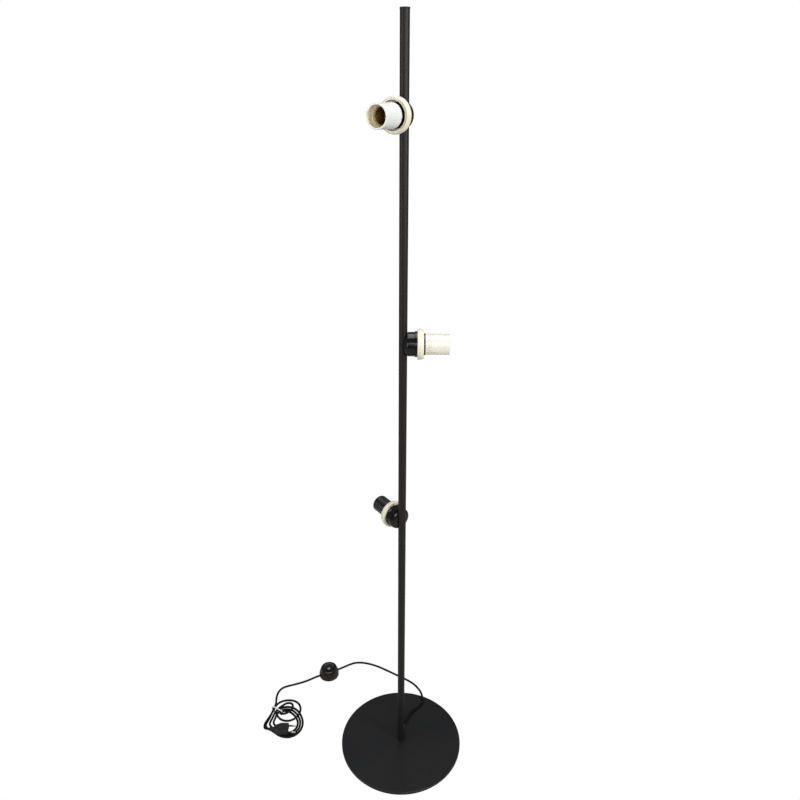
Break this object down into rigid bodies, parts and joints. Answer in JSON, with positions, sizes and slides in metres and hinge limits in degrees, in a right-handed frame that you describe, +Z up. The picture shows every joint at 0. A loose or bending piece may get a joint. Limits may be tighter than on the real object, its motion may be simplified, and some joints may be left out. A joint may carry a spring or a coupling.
{
  "type": "pole floor lamp",
  "caption": "Free-standing pole floor lamp: round weighted disc, thin pole, sideways screw lampholders with shade rings and no shades, cord with foot switch and tied coil.",
  "frame": {"origin": "centre of the disc's underside, on the floor", "axes": "+Z up along the pole, +X to the viewer's right in the picture, +Y away from the viewer"},
  "size_m": [0.4923, 0.4042, 1.596],
  "materials": {
    "base_paint": "satin charcoal powder coat on steel",
    "felt": "thin black felt",
    "plated_steel": "zinc plated",
    "pole_paint": "satin charcoal powder coat on steel tube",
    "cap_plastic": "moulded, matte black",
    "grommet_rubber": "soft black",
    "lead_plastic": "cable jacket",
    "black_plastic": "glossy moulded black",
    "white_plastic": "glossy moulded white",
    "cream_plastic": "moulded, aged to cream",
    "brown_plastic": "moulded brown",
    "brass": "dull brass",
    "switch_plastic": "glossy moulded black",
    "spring_steel": "drawn wire",
    "plug_plastic": "moulded, matte black",
    "pin_metal": "nickel plated brass",
    "tie_plastic": "thin white band",
    "cord_plastic": "smooth black jacket"
  },
  "bodies": {
    "lamp": {"base_disc": "base_paint", "base_pad": "felt", "base_washer": "plated_steel", "base_screw": "plated_steel", "pole_foot_plug": "plated_steel", "pole_tube": "pole_paint", "pole_top_cap": "cap_plastic", "cord_grommet": "grommet_rubber", "pole_lead": "lead_plastic", "upper_nipple": "plated_steel", "upper_lock_nut": "plated_steel", "upper_back_cap": "black_plastic", "upper_collar": "black_plastic", "upper_insulator": "brown_plastic", "upper_centre_contact": "brass", "upper_screw_shell": "brass", "upper_terminal_screws": "brass", "middle_nipple": "plated_steel", "middle_lock_nut": "plated_steel", "middle_back_cap": "black_plastic", "middle_collar": "black_plastic", "middle_insulator": "brown_plastic", "middle_centre_contact": "brass", "middle_screw_shell": "brass", "middle_terminal_screws": "brass", "lower_nipple": "plated_steel", "lower_lock_nut": "plated_steel", "lower_back_cap": "black_plastic", "lower_collar": "black_plastic", "lower_insulator": "brown_plastic", "lower_centre_contact": "brass", "lower_screw_shell": "brass", "lower_terminal_screws": "brass", "switch_base": "switch_plastic", "switch_cover": "switch_plastic", "switch_contact_in": "brass", "switch_contact_out": "brass", "switch_screws": "plated_steel", "switch_spring": "spring_steel", "plug_body": "plug_plastic", "plug_pin_1": "pin_metal", "plug_pin_2": "pin_metal", "plug_relief": "plug_plastic", "cord_tie": "tie_plastic", "cord_coil": "cord_plastic", "cord_pole_to_switch": "cord_plastic", "cord_switch_to_coil": "cord_plastic"},
    "switch_button_body": {"switch_button": "switch_plastic", "switch_bridge": "brass"},
    "upper_ring": {"upper_shade_ring": "cream_plastic"},
    "middle_ring": {"middle_shade_ring": "cream_plastic"},
    "lower_ring": {"lower_shade_ring": "cream_plastic"},
    "upper_skirt_off_body": {"upper_skirt": "white_plastic"},
    "middle_skirt_off_body": {"middle_skirt": "white_plastic"},
    "lower_skirt_off_body": {"lower_skirt": "black_plastic"}
  },
  "joints": [
    {"name": "switch_button_press", "type": "slide", "parent": "lamp", "child": "switch_button_body", "axis": [0, 0, -1], "range_m": [0, 0.003], "stiffness_N_per_m": 600, "springref_m": -0.004, "deforming": ["switch_spring"]},
    {"name": "upper_ring_off", "type": "slide", "parent": "lamp", "child": "upper_ring", "axis": [-0.5, -0.866, 0], "range_m": [0, 0.065]},
    {"name": "middle_ring_off", "type": "slide", "parent": "lamp", "child": "middle_ring", "axis": [1, 0, 0], "range_m": [0, 0.065]},
    {"name": "lower_ring_off", "type": "slide", "parent": "lamp", "child": "lower_ring", "axis": [-0.5878, 0.809, 0], "range_m": [0, 0.065]},
    {"name": "upper_skirt_off", "type": "slide", "parent": "lamp", "child": "upper_skirt_off_body", "axis": [-0.5, -0.866, 0], "range_m": [0, 0.055]},
    {"name": "middle_skirt_off", "type": "slide", "parent": "lamp", "child": "middle_skirt_off_body", "axis": [1, 0, 0], "range_m": [0, 0.055]},
    {"name": "lower_skirt_off", "type": "slide", "parent": "lamp", "child": "lower_skirt_off_body", "axis": [-0.5878, 0.809, 0], "range_m": [0, 0.055]}
  ]
}
